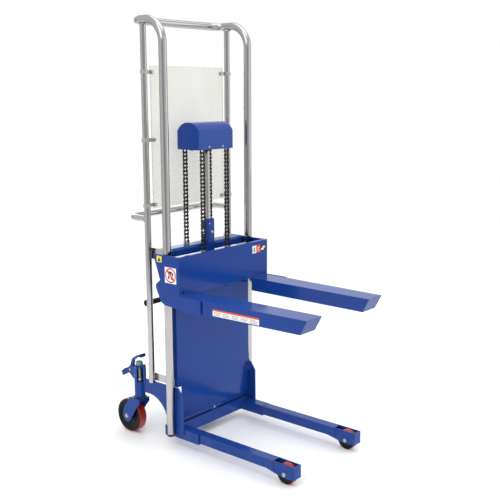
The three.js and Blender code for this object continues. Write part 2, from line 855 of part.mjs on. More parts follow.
// ---------------------------------------------------------------- assembly
add("mast_loop", mastLoop(), chrome());
addBothSides("rear_upright", rearUpright, chrome);
add("push_handle", pushHandle(), chrome());
add("anchor_beam", anchorBeam(), bluePaint());
add("cylinder_guard", cylinderGuard(), bluePaint());
add("cylinder_barrel", cylinderBarrel(), darkSteel());
add("cover_panel", coverPanel(), bluePaint());
add("base_beam", baseBeam(), bluePaint());
addBothSides("leg", leg, bluePaint);
addBothSides("load_axle", loadAxle, zinc);
addBothSides("load_wheel", loadWheel, redTread);
addBothSides("caster_bracket", casterBracket, bluePaint);
addBothSides("caster_fork", casterFork, bluePaint);
addBothSides("caster_axle", casterAxle, zinc);
addBothSides("caster_wheel", casterWheel, redTread);
addBothSides("brake_pedal", brakePedal, bluePaint);
addBothSides("brake_plunger", brakePlunger, zinc);

add("shield_panel", shieldPanel(), clearShield());
for (const [place, z] of Object.entries(CLAMP_HEIGHTS)) {
  for (const [word, side] of Object.entries(SIDES)) {
    add(`shield_clamp_${word}_${place}`, shieldClamp(side, z), zinc());
  }
}

add("piston_rod", pistonRod(), chrome());
add("head_yoke", headYoke(), darkSteel());
addBothSides("sheave", sheave, darkSteel);
addBothSides("chain_wrap", chainWrap, chainSteel);
addBothSides("rear_chain", (side) => chainRun(side, 1, CHAIN_ANCHOR.rear), chainSteel);
addBothSides("front_chain", (side) => chainRun(side, -1, CHAIN_ANCHOR.front), chainSteel);
add("chain_hood", chainHood(), bluePaint());

add("carriage_front_plate", carriageFrontPlate(), bluePaint());
addBothSides("carriage_side", carriageSide, bluePaint);
addBothSides("fork", fork, bluePaint);
addBothSides("upper_mast_roller", (side) => mastRoller(side, 35, ROLLER.upperZ), darkSteel);
addBothSides("lower_mast_roller", (side) => mastRoller(side, -35, ROLLER.lowerZ), darkSteel);

add("pump_body", pumpBody(), darkSteel());
add("pump_lever", pumpLever(), darkSteel());
add("pump_grip", bar("x", GRIP.r, -GRIP.half, GRIP.half, GRIP.y, GRIP.z, { sides: 16 }), blackRubber());
add("pump_ram", bar("z", 8, 190, 246, 0, PUMP.ramY), zinc());
add("release_lever", releaseLever(), darkSteel());

export default stacker;
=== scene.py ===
import json
import math

import bmesh
import bpy
from mathutils import Matrix, Vector


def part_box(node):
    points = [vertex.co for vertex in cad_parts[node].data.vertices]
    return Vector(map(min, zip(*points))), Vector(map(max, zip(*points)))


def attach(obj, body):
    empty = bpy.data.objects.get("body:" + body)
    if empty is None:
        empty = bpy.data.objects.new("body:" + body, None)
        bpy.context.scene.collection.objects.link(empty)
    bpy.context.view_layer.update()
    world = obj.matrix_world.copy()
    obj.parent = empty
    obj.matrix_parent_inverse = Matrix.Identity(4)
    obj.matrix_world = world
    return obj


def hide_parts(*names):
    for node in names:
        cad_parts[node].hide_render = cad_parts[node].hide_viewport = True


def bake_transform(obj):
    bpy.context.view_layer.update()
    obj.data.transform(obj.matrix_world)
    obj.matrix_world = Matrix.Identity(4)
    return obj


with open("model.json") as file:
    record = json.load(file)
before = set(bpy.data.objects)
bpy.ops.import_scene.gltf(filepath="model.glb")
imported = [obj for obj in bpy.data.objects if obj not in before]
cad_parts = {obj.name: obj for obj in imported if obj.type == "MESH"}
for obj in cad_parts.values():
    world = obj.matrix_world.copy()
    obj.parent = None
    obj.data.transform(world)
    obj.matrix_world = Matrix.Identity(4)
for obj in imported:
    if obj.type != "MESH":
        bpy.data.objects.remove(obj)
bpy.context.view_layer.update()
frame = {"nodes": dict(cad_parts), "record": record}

RECORD = frame["record"]
BODY_OF = {node: body for body, nodes in RECORD["behaviour"]["bodies"].items() for node in nodes}
SIDES = {"left": -1, "right": 1}
MM = 0.001

# ---------------------------------------------------------------- where things are
TUBE_R = 17 * MM
THIN_TUBE_R = 13 * MM
MAST_LO, MAST_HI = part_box("mast_loop")
FRONT_Y = MAST_LO.y + TUBE_R  # the plane of the front mast tubes
TUBE_X = MAST_HI.x - TUBE_R
TOP_Z = MAST_HI.z - TUBE_R

# in millimetres, in the frame of at() below
THIN_X, THIN_Y = 252, 116  # the rear uprights
LINK_INNER, LINK_OUTER = 234, 239.7  # the two faces of the flat link bars
CASTER_X, SWIVEL_Y = 238, 210  # the casters' swivel
CLAMP_X = 209  # the bolts of the shield's clamps
PEDAL_Y, PEDAL_Z = 255, 290  # the brake pedal's pivot
SHEAVE_X, SHEAVE_Y, SHEAVE_Z, SHEAVE_R = 75, 16, 1300, 50
PLATE_Y = -92  # the front face of the carriage
SIDE_X = 282  # the outer face of the carriage


def at(x, y, z):
    """A point given in millimetres from the middle of the front mast tubes and the floor."""
    return Vector((x * MM, FRONT_Y + y * MM, z * MM))


def middle(node):
    low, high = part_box(node)
    return (low + high) / 2


# ---------------------------------------------------------------- materials
def srgb(r, g, b):
    def linear(c):
        c /= 255
        return c / 12.92 if c <= 0.04045 else ((c + 0.055) / 1.055) ** 2.4
    return (linear(r), linear(g), linear(b), 1)


class Finish:
    """A principled material whose colour, roughness and surface vary with procedural noise."""

    COLOUR_A, COLOUR_B, COLOUR_OUT = 6, 7, 2  # the mix node's colour sockets

    def __init__(self, name, **sockets):
        self.material = bpy.data.materials.new(name)
        self.material.use_nodes = True
        self.tree = self.material.node_tree
        self.shader = self.tree.nodes["Principled BSDF"]
        for socket, value in sockets.items():
            self.shader.inputs[socket.replace("_", " ")].default_value = value
        self.place = self.tree.nodes.new("ShaderNodeTexCoord").outputs["Object"]

    def node(self, kind, inputs=(), **settings):
        made = self.tree.nodes.new(kind)
        for key, value in settings.items():
            setattr(made, key, value)
        for key, value in dict(inputs).items():
            if isinstance(value, bpy.types.NodeSocket):
                self.tree.links.new(value, made.inputs[key])
            else:
                made.inputs[key].default_value = value
        return made

    def noise(self, scale, detail=3.0, stretch=(1, 1, 1), rough=0.55):
        mapped = self.node("ShaderNodeMapping", {"Vector": self.place, "Scale": stretch})
        return self.node("ShaderNodeTexNoise", {"Vector": mapped.outputs[0], "Scale": scale,
                                                "Detail": detail, "Roughness": rough}).outputs[0]

    def range(self, value, low, high, to_low=0.0, to_high=1.0):
        return self.node("ShaderNodeMapRange", {"Value": value, "From Min": low, "From Max": high,
                                                "To Min": to_low, "To Max": to_high}).outputs[0]

    def mix(self, factor, a, b):
        mixer = self.node("ShaderNodeMix", {"Factor": factor}, data_type="RGBA")
        for slot, value in ((self.COLOUR_A, a), (self.COLOUR_B, b)):
            if isinstance(value, bpy.types.NodeSocket):
                self.tree.links.new(value, mixer.inputs[slot])
            else:
                mixer.inputs[slot].default_value = value
        return mixer.outputs[self.COLOUR_OUT]

    def times(self, a, b):
        return self.node("ShaderNodeMath", {0: a, 1: b}, operation="MULTIPLY").outputs[0]

    def set(self, socket, value):
        self.tree.links.new(value, self.shader.inputs[socket])

    def bump(self, height, strength, distance=0.0005):
        made = self.node("ShaderNodeBump", {"Height": height, "Strength": strength, "Distance": distance})
        self.set("Normal", made.outputs[0])

    def worn_edges(self, low=0.53, high=0.58):
        """1 on sharp convex edges, broken up by noise."""
        edge = self.range(self.node("ShaderNodeNewGeometry").outputs["Pointiness"], low, high)
        return self.times(edge, self.range(self.noise(60, 5), 0.45, 0.62))


def blue_paint():
    """Glossy enamel: faint orange peel, slow changes of tone, light scuffs and a little dust low down."""
    f = Finish("blue_paint", Coat_Weight=0.14, Coat_Roughness=0.05, IOR=1.26)
    tone = f.mix(f.range(f.noise(3, 3), 0.35, 0.7), srgb(19, 58, 134), srgb(22, 62, 141))
    scuffs = f.times(f.range(f.noise(110, 6, (1, 1, 0.25)), 0.66, 0.82), 0.1)
    scuffed = f.mix(scuffs, tone, srgb(96, 120, 182))
    height = f.node("ShaderNodeSeparateXYZ", {0: f.place}).outputs[2]
    dust = f.times(f.range(height, 0.12, 0.02), f.range(f.noise(24, 5), 0.45, 0.75, 0, 0.14))
    dusty = f.mix(dust, scuffed, srgb(120, 122, 132))
    f.set("Base Color", dusty)
    f.set("Roughness", f.range(f.noise(36, 6), 0.3, 0.7, 0.15, 0.19))
    f.bump(f.noise(420, 2), 0.02, 0.0002)
    return f.material


def chrome():
    """Bright plated tube, faintly drawn along its length, with dull finger marks and painted shade: lighter
    low down, darker higher up.
    """
    f = Finish("chrome_tube", Metallic=1.0)
    height = f.node("ShaderNodeSeparateXYZ", {0: f.place}).outputs[2]
    # painted light: the colour ramps from lighter below 0.5 m to darker above 1.2 m, standing in for how the
    # tube is lit
    tone = f.mix(f.range(height, 0.5, 1.2), srgb(184, 182, 182), srgb(170, 168, 168))
    f.set("Base Color", f.mix(f.range(f.noise(9, 4), 0.4, 0.7, 0, 0.3), tone, srgb(160, 158, 158)))
    f.set("Roughness", f.range(f.noise(16, 6, (1, 1, 0.3)), 0.35, 0.75, 0.08, 0.16))
    f.bump(f.noise(700, 2, (1, 1, 0.02)), 0.06, 0.0002)
    return f.material


def plated(name, light, dark, low, high):
    """Zinc or yellow plating: mottled crystals."""
    f = Finish(name, Metallic=0.9)
    f.set("Base Color", f.mix(f.range(f.noise(240, 5), 0.35, 0.7), light, dark))
    f.set("Roughness", f.range(f.noise(150, 5), 0.3, 0.7, low, high))
    f.bump(f.noise(900, 3), 0.2, 0.0002)
    return f.material


def chain_steel():
    """Oiled black link plates, rubbed brighter where they bear."""
    f = Finish("chain_steel", Metallic=0.55)
    rub = f.worn_edges(0.52, 0.6)
    tone = f.mix(f.range(f.noise(300, 4), 0.4, 0.7), srgb(14, 13, 12), srgb(30, 27, 24))
    f.set("Base Color", f.mix(f.times(rub, 0.5), tone, srgb(110, 102, 84)))
    f.set("Roughness", f.range(f.noise(220, 5), 0.3, 0.7, 0.28, 0.5))
    f.bump(f.noise(900, 3), 0.2, 0.0002)
    return f.material


def dark_steel():
    """Satin black paint over machined steel, with oily patches."""
    f = Finish("dark_steel", Metallic=0.3)
    tone = f.mix(f.range(f.noise(40, 5), 0.4, 0.7), srgb(34, 34, 38), srgb(58, 57, 58))
    f.set("Base Color", f.mix(f.times(f.worn_edges(), 0.7), tone, srgb(140, 138, 134)))
    f.set("Roughness", f.range(f.noise(60, 5), 0.3, 0.7, 0.3, 0.55))
    f.bump(f.noise(420, 3), 0.2, 0.0003)
    return f.material


def red_tread():
    """Cast polyurethane: slightly cloudy red, with fine scratches and grey dust ground into it."""
    f = Finish("red_polyurethane", Subsurface_Weight=0.08, Subsurface_Scale=0.004, Coat_Weight=0.15)
    tone = f.mix(f.range(f.noise(26, 4), 0.35, 0.7), srgb(142, 22, 16), srgb(178, 40, 28))
    grime = f.times(f.range(f.noise(130, 7), 0.5, 0.75), 0.35)
    f.set("Base Color", f.mix(grime, tone, srgb(70, 50, 48)))
    f.set("Roughness", f.range(f.noise(90, 6), 0.3, 0.7, 0.3, 0.5))
    f.bump(f.noise(340, 5), 0.25, 0.0004)
    return f.material


def black_plastic(name, tone, low, high, grain):
    f = Finish(name, IOR=1.3)
    f.set("Base Color", f.mix(f.range(f.noise(30, 4), 0.4, 0.7), tone, [c * 1.5 for c in tone[:3]] + [1]))
    f.set("Roughness", f.range(f.noise(80, 5), 0.3, 0.7, low, high))
    f.bump(f.noise(grain, 3), 0.35, 0.0003)
    return f.material


def clear_sheet():
    """The faces of the shield: clear plastic, faintly warm, with wiping marks."""
    f = Finish("clear_shield", Alpha=0.3, IOR=1.3)
    f.set("Base Color", f.mix(f.range(f.noise(6, 3), 0.4, 0.7), srgb(206, 205, 194), srgb(212, 211, 202)))
    f.set("Roughness", f.range(f.noise(26, 6, (1, 1, 0.3)), 0.35, 0.75, 0.08, 0.25))
    f.bump(f.noise(120, 4, (1, 1, 0.2)), 0.03, 0.0002)
    return f.material


def sheet_edge():
    """The sawn edge of the shield, where the plastic's yellow tint gathers."""
    f = Finish("shield_edge", Alpha=0.9, IOR=1.49)
    f.set("Base Color", f.mix(f.range(f.noise(80, 4), 0.4, 0.7), srgb(192, 190, 164), srgb(208, 206, 184)))
    f.set("Roughness", f.range(f.noise(300, 5), 0.3, 0.7, 0.3, 0.5))
    f.bump(f.noise(600, 3), 0.2, 0.0002)
    return f.material


def printed(name, tone, fade):
    """A vinyl label's ink, a little faded in patches."""
    f = Finish(name)
    f.set("Base Color", f.mix(f.range(f.noise(70, 5), 0.4, 0.75), tone, fade))
    f.set("Roughness", f.range(f.noise(200, 4), 0.3, 0.7, 0.35, 0.5))
    f.bump(f.noise(500, 2), 0.08, 0.0001)
    return f.material


BLUE, CHROME, CHAIN, DARK, RED = blue_paint(), chrome(), chain_steel(), dark_steel(), red_tread()
ZINC = plated("zinc_hardware", srgb(196, 196, 192), srgb(150, 148, 142), 0.25, 0.45)
PIN = plated("bright_pin", srgb(190, 186, 178), srgb(130, 124, 116), 0.2, 0.4)
OILED_PIN = plated("oiled_pin", srgb(126, 116, 78), srgb(74, 66, 44), 0.25, 0.45)
RUBBER = black_plastic("black_rubber", srgb(20, 20, 21), 0.55, 0.8, 700)
HUB = black_plastic("hub_plastic", srgb(9, 9, 10), 0.4, 0.55, 300)
PLUG = black_plastic("tube_plug", srgb(74, 34, 22), 0.5, 0.7, 400)
KNOB = black_plastic("grey_knob", srgb(96, 118, 124), 0.3, 0.45, 300)
# painted shade: a near-black material laid in slots, holes and gaps where only shade falls
HOLLOW_SHADE = black_plastic("shadowed_hollow", srgb(12, 12, 14), 0.7, 0.9, 200)
SHEET, SHEET_EDGE = clear_sheet(), sheet_edge()
INK = {
    "white": printed("ink_white", srgb(238, 238, 236), srgb(222, 222, 222)),
    "red": printed("ink_red", srgb(206, 44, 26), srgb(214, 66, 44)),
    "orange": printed("ink_orange", srgb(212, 70, 26), srgb(218, 92, 50)),
    "yellow": printed("ink_yellow", srgb(226, 206, 44), srgb(232, 218, 96)),
    "black": printed("ink_black", srgb(26, 26, 28), srgb(52, 52, 54)),
    "grey": printed("ink_grey", srgb(104, 106, 114), srgb(140, 142, 150)),
}


# ---------------------------------------------------------------- mesh helpers
def finished(name, bm, materials, body, node=None, smooth_angle=35, bevel=0.0, segments=2):
    """Turns a bmesh into a piece that rides on a body, if given, with smooth faces split at sharp edges."""
    mesh = bpy.data.meshes.new(name)
    bmesh.ops.recalc_face_normals(bm, faces=bm.faces)
    limit = math.radians(smooth_angle)
    for edge in bm.edges:
        if len(edge.link_faces) == 2:
            edge.smooth = edge.calc_face_angle(0) < limit
    for face in bm.faces:
        face.smooth = True
    bm.to_mesh(mesh)
    bm.free()
    for material in materials if isinstance(materials, (list, tuple)) else [materials]:
        mesh.materials.append(material)
    piece = bpy.data.objects.new(name, mesh)
    bpy.context.scene.collection.objects.link(piece)
    if bevel:
        rounding = piece.modifiers.new("rounded_edges", "BEVEL")
        rounding.width, rounding.segments = bevel, segments
        rounding.limit_method, rounding.angle_limit = "ANGLE", math.radians(30)
        rounding.harden_normals = True
        rounding.use_clamp_overlap = True
    if body:
        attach(piece, body)
    if node:
        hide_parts(node)
    return piece


def refined(node, material, bevel=0.8 * MM, segments=2, smooth_angle=35, extra=None):
    """A sheet-metal or machined piece: its solid welded, its facets merged and every edge rounded."""
    bm = bmesh.new()
    bm.from_mesh(frame["nodes"][node].data)
    bmesh.ops.remove_doubles(bm, verts=bm.verts, dist=0.02 * MM)
    bmesh.ops.dissolve_limit(bm, angle_limit=math.radians(0.4), verts=bm.verts, edges=bm.edges)
    bmesh.ops.triangulate(bm, faces=[face for face in bm.faces if len(face.verts) > 4])
    if extra:
        extra(bm)
    finished(f"{node}_finish", bm, material, BODY_OF[node], node, smooth_angle, bevel, segments)


def filleted(corners, radii, steps=14):
    """Points along straight runs joined by round bends."""
    points = [corners[0]]
    for i, radius in enumerate(radii):
        corner = corners[i + 1]
        back, on = (corners[i] - corner).normalized(), (corners[i + 2] - corner).normalized()
        half = back.angle(on) / 2
        start = corner + back * radius / math.tan(half)
        centre = corner + (back + on).normalized() * radius / math.sin(half)
        spin = back.cross(on).normalized()
        for step in range(steps + 1):
            turn = Matrix.Rotation(-(math.pi - 2 * half) * step / steps, 3, spin)
            points.append(centre + turn @ (start - centre))
    return points + [corners[-1]]


def sweep(bm, points, radius, sides=32):
    """A round bar along points. radius may be a function of the point's index."""
    radius_at = radius if callable(radius) else lambda i: radius
    heading = [(points[min(i + 1, len(points) - 1)] - points[max(i - 1, 0)]).normalized()
               for i in range(len(points))]
    across = heading[0].orthogonal().normalized()
    rings = []
    for i, (point, ahead) in enumerate(zip(points, heading)):
        across = (across - ahead * across.dot(ahead)).normalized()
        other = ahead.cross(across)
        rings.append([bm.verts.new(point + radius_at(i) * (across * math.cos(t) + other * math.sin(t)))
                      for t in (2 * math.pi * k / sides for k in range(sides))])
    for ring, following in zip(rings, rings[1:]):
        for k in range(sides):
            bm.faces.new((ring[k], ring[(k + 1) % sides], following[(k + 1) % sides], following[k]))
    for ring in (rings[0][::-1], rings[-1]):
        bm.faces.new(ring)


def axis_frame(centre, axis):
    """Puts a shape drawn round Z onto an axis through centre."""
    return Matrix.Translation(centre) @ Vector(axis).to_track_quat("Z", "Y").to_matrix().to_4x4()


def lathe(bm, profile, centre, axis, sides=48, material=0):
    """Turns a [radius, height] profile in metres about an axis. Radius 0 closes it with a point."""
    place = axis_frame(centre, axis)
    rings = []
    for radius, height in profile:
        count = 1 if radius == 0 else sides
        rings.append([bm.verts.new(place @ Vector((radius * math.cos(t), radius * math.sin(t), height)))
                      for t in (2 * math.pi * k / sides for k in range(count))])
    for a, b in zip(rings, rings[1:]):
        for k in range(sides):
            n = (k + 1) % sides
            corners = [a[0]] if len(a) == 1 else [a[k], a[n]]
            corners += [b[0]] if len(b) == 1 else [b[n], b[k]]
            bm.faces.new(corners).material_index = material


def rounded(profile, radius, steps=4):
    """The same profile in millimetres with every inner corner rounded, in metres."""
    points = [Vector(p) for p in profile]
    smooth = [points[0]]
    for before, corner, after in zip(points, points[1:], points[2:]):
        back, on = before - corner, after - corner
        reach = min(radius, back.length / 2.2, on.length / 2.2)
        a, b = corner + back.normalized() * reach, corner + on.normalized() * reach
        for step in range(steps + 1):
            t = step / steps
            smooth.append(a * (1 - t) ** 2 + corner * 2 * t * (1 - t) + b * t ** 2)
    smooth.append(points[-1])
    return [(p.x * MM, p.y * MM) for p in smooth]


def mirrored(half, radius, steps):
    """A wheel's closed profile, rounded and in metres, from the half of it at positive heights."""
    other = [(r, -height) for r, height in half]
    return rounded(other + half[::-1] + other[:1], radius, steps)


def slab(bm, low, high, material=0):
    """A block between two corners."""
    size, centre = high - low, (low + high) / 2
    place = Matrix.Translation(centre) @ Matrix.Diagonal((*size, 1))
    made = bmesh.ops.create_cube(bm, size=1, matrix=place)
    for face in {face for vert in made["verts"] for face in vert.link_faces}:
        face.material_index = material


def prism(bm, outline, centre, axis, depth, up):
    """A flat [right, up] outline in metres, pushed along axis, seen from where the axis points."""
    ahead = Vector(axis).normalized()
    right = up.cross(ahead)
    near = [bm.verts.new(centre + right * u + up * v + ahead * depth) for u, v in outline]
    far = [bm.verts.new(centre + right * u + up * v) for u, v in outline]
    bm.faces.new(near)
    bm.faces.new(far[::-1])
    for i in range(len(outline)):
        following = (i + 1) % len(outline)
        bm.faces.new((near[i], far[i], far[following], near[following]))


def circle(radius, count):
    turns = [2 * math.pi * k / count for k in range(count)]
    return [(radius * math.cos(turn), radius * math.sin(turn)) for turn in turns]


def hex_bolt(bm, seat, axis, across, height, washer=0.0):
    """A hex head with a chamfered crown, on a washer if its radius is given, standing on seat."""
    axis = Vector(axis)
    thick = 1.2 * MM if washer else 0.0
    if washer:
        disc = rounded([(0, 0), (washer / MM, 0), (washer / MM, 1.2), (0, 1.2)], 0.4, 2)
        lathe(bm, disc, seat, axis, 32)
    place = axis_frame(seat + axis * thick, axis)
    rings = []
    for radius, level in ((across * 0.58, 0), (across * 0.58, height * 0.8), (across * 0.5, height)):
        rings.append([bm.verts.new(place @ Vector((u, v, level))) for u, v in circle(radius, 6)])
    for a, b in zip(rings, rings[1:]):
        for k in range(6):
            bm.faces.new((a[k], a[(k + 1) % 6], b[(k + 1) % 6], b[k]))
    bm.faces.new(rings[-1])


def bead(bm, start, end, radius=2.2 * MM):
    """A weld bead: a rippled fillet from start to end."""
    length = (end - start).length
    count = max(6, int(length / (1.6 * MM)))
    points = [start.lerp(end, k / count) for k in range(count + 1)]

    def ripple(i):
        return radius * (0.86 + 0.16 * math.sin(i * 2.1) + 0.05 * math.sin(i * 5.7))
    sweep(bm, points, ripple, 10)


# ---------------------------------------------------------------- mast
def mast_tubes():
    foot = MAST_LO.z
    corners = [Vector(c) for c in (
        (-TUBE_X, FRONT_Y, foot), (-TUBE_X, FRONT_Y, TOP_Z), (-TUBE_X, MAST_HI.y - TUBE_R, TOP_Z),
        (TUBE_X, MAST_HI.y - TUBE_R, TOP_Z), (TUBE_X, FRONT_Y, TOP_Z), (TUBE_X, FRONT_Y, foot))]
    bm = bmesh.new()
    sweep(bm, filleted(corners, [95 * MM, 60 * MM, 60 * MM, 95 * MM]), TUBE_R, 40)
    finished("mast_loop_tube", bm, CHROME, "mast", "mast_loop")
    for word, side in SIDES.items():
        bm = bmesh.new()
        profile = rounded([(0, -12), (13, -12), (17.1, -8.5), (17.1, 0.5), (0, 0.5)], 1.6)
        lathe(bm, profile, Vector((side * TUBE_X, FRONT_Y, foot)), (0, 0, 1), 40)
        finished(f"tube_plug_{word}", bm, PLUG, "mast")


def rear_uprights():
    for word, side in SIDES.items():
        node = f"rear_upright_{word}"
        foot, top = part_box(node)[0].z / MM, 1768
        x, y = side * THIN_X, THIN_Y
        bm = bmesh.new()
        sweep(bm, [at(x, y, foot), at(x, y, 700), at(x, y, 1200), at(x, y, top)], THIN_TUBE_R, 32)
        collar = rounded([(13.2, -3), (17.6, 0), (14.5, 4), (13.2, 5)], 1.5)
        lathe(bm, collar, at(x, y, top - 8), (0, 0, 1), 32)
        finished(f"{node}_tube", bm, CHROME, "mast", node)
        bm = bmesh.new()
        inner, outer = sorted((side * LINK_INNER, side * LINK_OUTER))
        slab(bm, at(inner, -8, 805), at(outer, 130, 852))
        slab(bm, at(inner, -8, 269), at(outer, 142, 303))
        piece = finished(f"{node}_bars", bm, CHROME, "mast", bevel=1.2 * MM)
        bm = bmesh.new()
        for z0, z1 in ((807, 850), (271, 301)):
            bead(bm, at(side * 241, 9, z0), at(side * 241, 9, z1), 2.0 * MM)
            bead(bm, at(side * 240, 125, z0), at(side * 240, 125, z1), 2.0 * MM)
        finished(f"{node}_welds", bm, CHROME, "mast", smooth_angle=80)


def push_handle():
    low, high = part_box("push_handle")
    z, rear = (low.z + high.z) / 2, high.y - THIN_TUBE_R
    front = FRONT_Y + THIN_Y * MM
    x = THIN_X * MM
    corners = [Vector(c) for c in ((-x, front, z), (-x, rear, z), (x, rear, z), (x, front, z))]
    bm = bmesh.new()
    sweep(bm, filleted(corners, [50 * MM, 50 * MM]), THIN_TUBE_R, 32)
    for side in SIDES.values():
        collar = Vector((side * x, front + 13.5 * MM, z))
        lathe(bm, rounded([(13.1, -2), (15.6, 0), (14.2, 3), (13.1, 4)], 1.2), collar, (0, 1, 0), 32)
    finished("push_handle_tube", bm, CHROME, "mast", "push_handle")


def crossmember():
    refined("anchor_beam", BLUE, 1.0 * MM)
    bm = bmesh.new()
    for side in SIDES.values():
        hex_bolt(bm, at(side * SHEAVE_X, SHEAVE_Y + SHEAVE_R, 850), (0, 0, 1), 13 * MM, 7 * MM, 11 * MM)
        bead(bm, at(side * 232.4, 30, 851), at(side * 232.4, 78, 851), 1.8 * MM)
    finished("chain_anchor_nuts", bm, ZINC, "mast")

    refined("cylinder_guard", BLUE, 0.9 * MM)
    bm = bmesh.new()
    hex_bolt(bm, at(3, -11.5, 900), (0, -1, 0), 9 * MM, 4 * MM, 7.5 * MM)
    lathe(bm, rounded([(0, 0), (3.4, 0), (3.4, 1.6), (0, 2.4)], 0.6), at(-12, -11.5, 938), (0, -1, 0), 24)
    finished("guard_bolts", bm, ZINC, "mast", bevel=0.4 * MM)

    barrel = middle("cylinder_barrel")
    bm = bmesh.new()
    profile = rounded([(0, 95.5), (16.8, 95.5), (17, 100), (17, 930), (16.8, 931), (16, 932), (16, 936),
                       (17, 937), (17, 955), (15.4, 958), (11.4, 958), (11.4, 950), (0, 950)], 0.8, 2)
    lathe(bm, profile, Vector((barrel.x, barrel.y, 0)), (0, 0, 1), 40)
    finished("cylinder_barrel_tube", bm, DARK, "mast", "cylinder_barrel")


# ---------------------------------------------------------------- base
def panel_and_beam():
    refined("cover_panel", BLUE, 0.7 * MM)
    bm = bmesh.new()
    screw = rounded([(0, 0), (5.4, 0), (5.4, 1.2), (3.4, 2.4), (0, 2.6)], 0.6)
    lathe(bm, screw, at(0, -16, 108), (0, -1, 0), 24)
    # painted shade: a near-black slab for the screw's slot
    slab(bm, at(-2.6, -18.9, 107.6), at(2.6, -18.3, 108.4), 1)
    finished("panel_screw", bm, [ZINC, HOLLOW_SHADE], "mast")
    # painted shade: near-black strips behind the panel's slot, standing in for the shade inside it
    bm = bmesh.new()
    for side in SIDES.values():
        near, far = sorted((side * 18.6, side * 229))
        slab(bm, at(near, -12.5, 95.2), at(far, -11, 106))
    finished("panel_slot_shade", bm, HOLLOW_SHADE, "mast")

    refined("base_beam", BLUE, 1.0 * MM)
    bm = bmesh.new()
    for side in SIDES.values():
        bead(bm, at(side * 189, -20.5, 46), at(side * 189, -20.5, 84), 2.4 * MM)
        bead(bm, at(side * 190, -20.5, 85), at(side * 233, -20.5, 85), 2.0 * MM)
        bead(bm, at(side * 233.2, -58, 66), at(side * 233.2, -50, 100), 1.9 * MM)
        bead(bm, at(side * 233.8, -27, 261), at(side * 233.8, 8, 261), 1.6 * MM)
        bead(bm, at(side * 241, 10, 110), at(side * 241, 10, 250), 2.0 * MM)
        bead(bm, at(side * 240.5, -15.6, 104), at(side * 240.5, -15.2, 256), 1.8 * MM)
    finished("base_welds", bm, BLUE, "mast", smooth_angle=80)


def legs():
    for word, side in SIDES.items():
        refined(f"leg_{word}", BLUE, 1.3 * MM, 3)
        bm = bmesh.new()
        low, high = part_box(f"load_axle_{word}")
        pin = middle(f"load_axle_{word}")
        for outer, way in ((high.x, 1), (low.x, -1)):
            face = Vector((outer - way * 4 * MM, pin.y, pin.z))
            cap = rounded([(0, 0), (9, 0), (9, 2.4), (7.4, 3.6), (6.6, 3.6), (6.2, 3.0), (0, 3.0)], 0.5, 3)
            lathe(bm, cap, face, (way, 0, 0), 32)
            # painted shade: the dimple in the middle of each cap is near-black
            lathe(bm, [(0, 3.0 * MM), (1.6 * MM, 2.4 * MM), (0, 2.2 * MM)], face, (way, 0, 0), 16, 1)
        lathe(bm, [(6 * MM, -18 * MM), (6 * MM, 18 * MM)], pin, (1, 0, 0), 24)
        finished(f"load_axle_{word}_pin", bm, [ZINC, HOLLOW_SHADE], "mast", f"load_axle_{word}")
        bm = bmesh.new()
        for x in (side * 188.4, side * 231.6):
            bead(bm, at(x, -536, 46), at(x, -536, 83), 1.6 * MM)
        bead(bm, at(side * 190, -536, 84.3), at(side * 230, -536, 84.3), 1.5 * MM)
        bead(bm, at(side * 190, -141, 84.2), at(side * 234, -141, 84.2), 1.5 * MM)
        bead(bm, at(side * 235.4, -140.5, 40), at(side * 235.4, -140.5, 83), 1.8 * MM)
        finished(f"leg_welds_{word}", bm, BLUE, "mast", smooth_angle=80)
        load_wheel(word)


def load_wheel(word):
    node = f"load_wheel_{word}"
    centre = middle(node)
    half = 15
    tread = mirrored([(39, half - 1.4), (40.8, half - 1.6), (42, half - 4)], 2.0, 5)
    bm = bmesh.new()
    lathe(bm, tread, centre, (1, 0, 0), 64)
    hub = mirrored([(6.4, half), (14, half), (16, half - 3), (30, half - 3), (34, half - 0.6),
                    (40, half - 0.8)], 1.2, 3)
    lathe(bm, hub, centre, (1, 0, 0), 48, 1)
    finished(f"{node}_tread", bm, [RED, HUB], BODY_OF[node], node)


# ---------------------------------------------------------------- casters
def casters():
    for word, side in SIDES.items():
        refined(f"caster_bracket_{word}", BLUE, 0.9 * MM, smooth_angle=32)
        housing_x, housing_y = side * CASTER_X, SWIVEL_Y
        bm = bmesh.new()
        bead(bm, at(side * CASTER_X, 185.6, 172), at(side * CASTER_X, 185.6, 262), 2.4 * MM)
        bead(bm, at(side * 236, 130, 263), at(side * 236, 110, 263), 1.8 * MM)
        finished(f"bracket_welds_{word}", bm, BLUE, "mast", smooth_angle=80)
        # dark steel: the bearing ring's finish, kept dark also to paint the shade in the gap under the
        # housing
        bm = bmesh.new()
        ring = rounded([(16.5, 165), (26, 165), (26.6, 167), (26.6, 169.4), (16.5, 169.6)], 0.8, 3)
        lathe(bm, ring, at(housing_x, housing_y, 0), (0, 0, 1), 40)
        finished(f"swivel_bearing_{word}", bm, DARK, "mast")

        node = f"caster_fork_{word}"
        refined(node, BLUE, 1.2 * MM, 3, smooth_angle=32)
        # dark steel: the race's finish, kept dark also to paint the shade in the gap under the housing
        bm = bmesh.new()
        lathe(bm, rounded([(16.4, 159), (28, 159), (29, 161), (29, 163), (22, 164.6), (16.4, 164.6)], 0.8, 3),
              at(housing_x, housing_y, 9.5), (0, 0, 1), 40)
        finished(f"swivel_race_{word}", bm, DARK, BODY_OF[node])

        axle = f"caster_axle_{word}"
        centre = middle(axle)
        bm = bmesh.new()
        lathe(bm, [(6 * MM, -33 * MM), (6 * MM, 33 * MM)], centre, (1, 0, 0), 24)
        for way in (-1, 1):
            seat = centre + Vector((way * 31.2 * MM, 0, 0))
            hex_bolt(bm, seat, (way, 0, 0), 15 * MM, 3.6 * MM, 10.5 * MM)
        finished(f"{axle}_bolt", bm, ZINC, BODY_OF[axle], axle)
        caster_wheel(word)
        brake(word, side)


